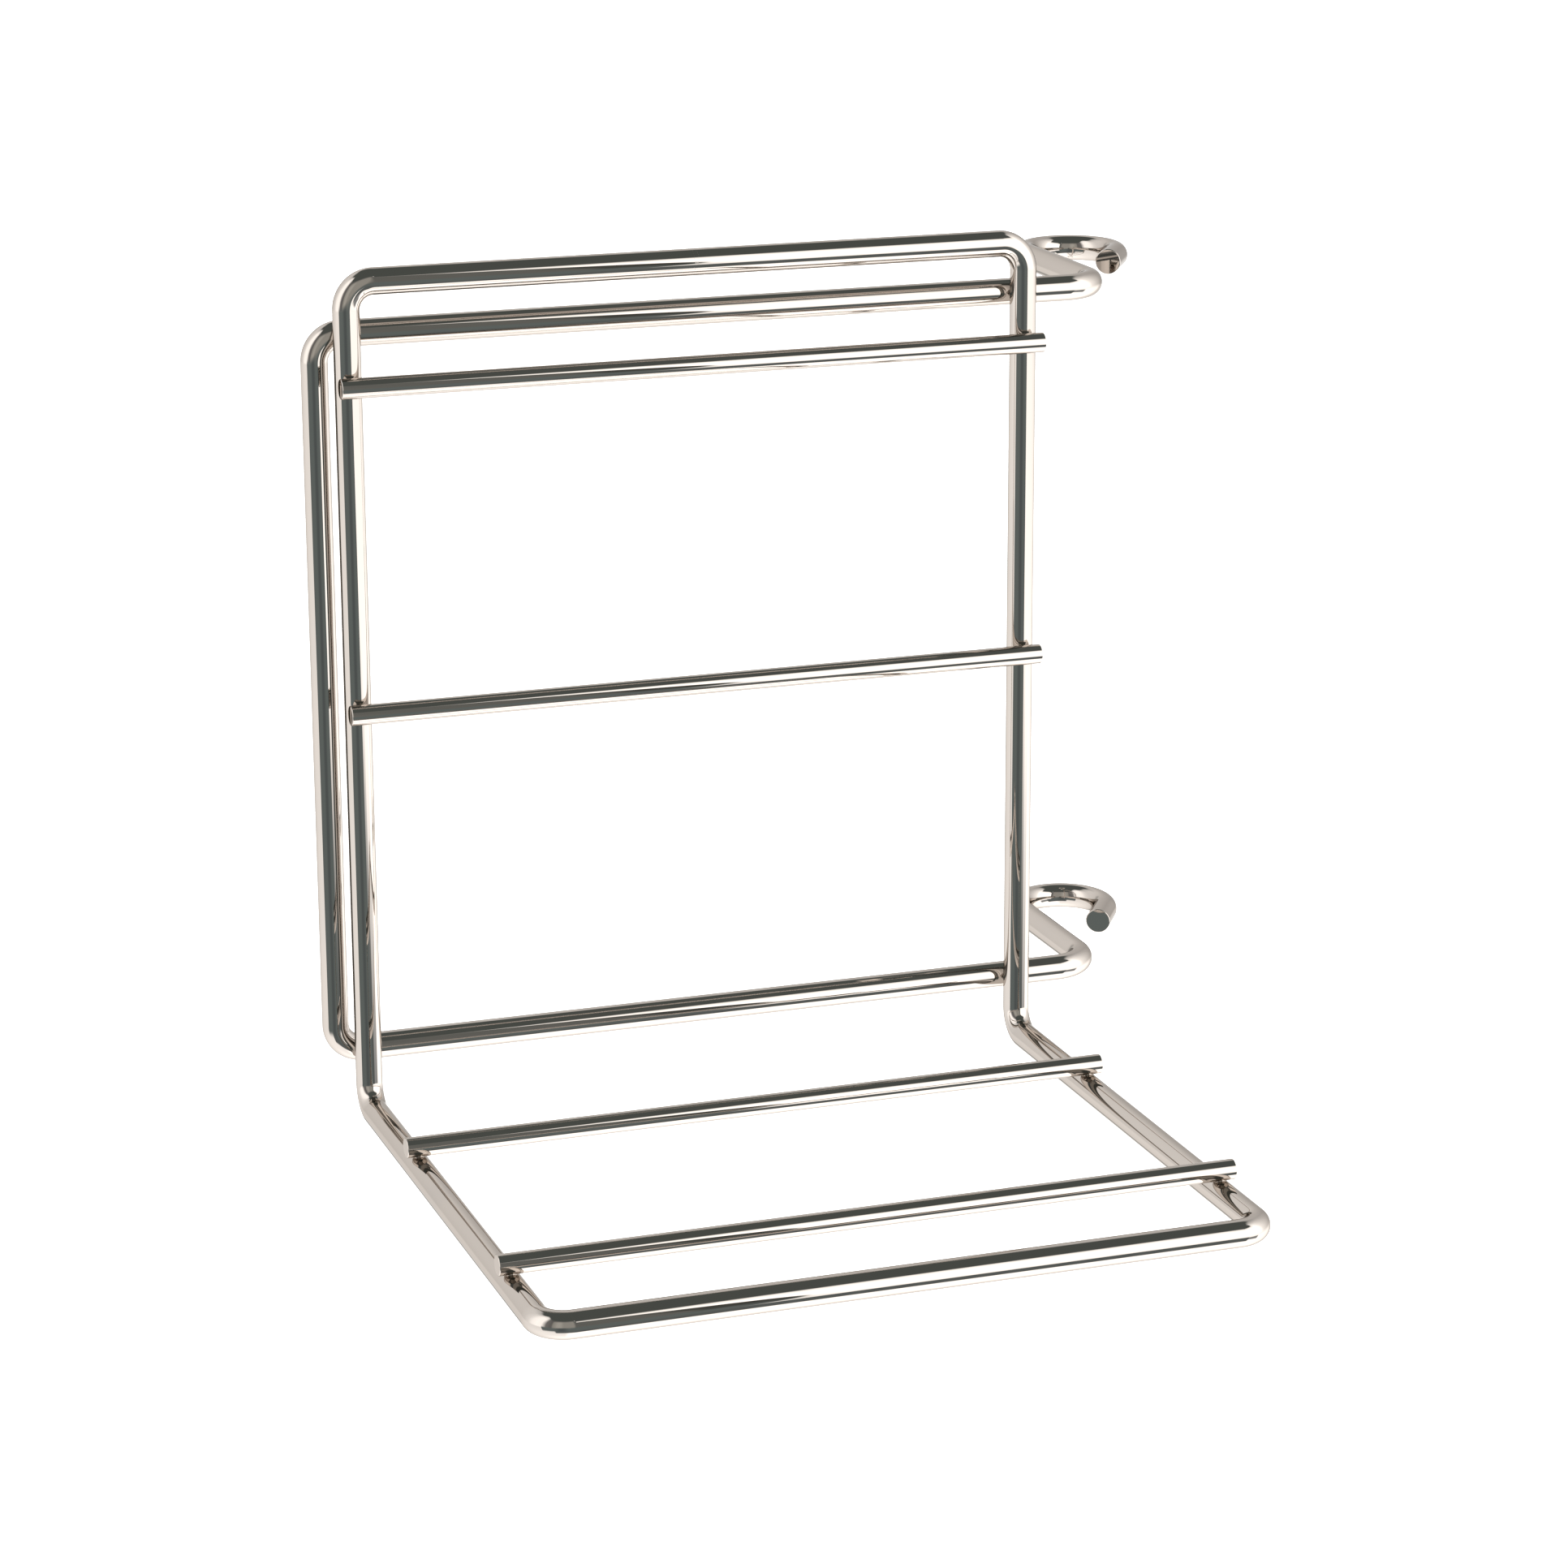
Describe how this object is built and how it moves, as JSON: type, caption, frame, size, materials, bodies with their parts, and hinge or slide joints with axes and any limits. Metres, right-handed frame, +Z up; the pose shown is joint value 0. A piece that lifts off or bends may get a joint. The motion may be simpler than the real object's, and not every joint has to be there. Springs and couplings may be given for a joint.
{
  "type": "towel rack",
  "caption": "Chrome-plated rod towel rack with a barred back and a barred shelf, hung on an upright post by two open hooks.",
  "frame": {"origin": "on the axis of the post that the hooks go round, level with the upper hook's rod", "axes": "+Z up the post, -Y out of the front over the shelf, +X from the rack towards the post's side"},
  "size_m": [0.3537, 0.3424, 0.322],
  "materials": {
    "frame_chrome": "bright chrome plate on round steel rod",
    "bar_chrome": "bright chrome plate on thinner round steel rod",
    "weld_chrome": "bright chrome plate over weld metal"
  },
  "bodies": {
    "root": {"front_frame": "frame_chrome", "frame_seam_weld": "weld_chrome", "upper_back_bar": "bar_chrome", "lower_back_bar": "bar_chrome", "rear_shelf_bar": "bar_chrome", "front_shelf_bar": "bar_chrome", "hook_bracket": "frame_chrome", "crossbar_welds": "weld_chrome", "bracket_welds": "weld_chrome"}
  },
  "joints": []
}
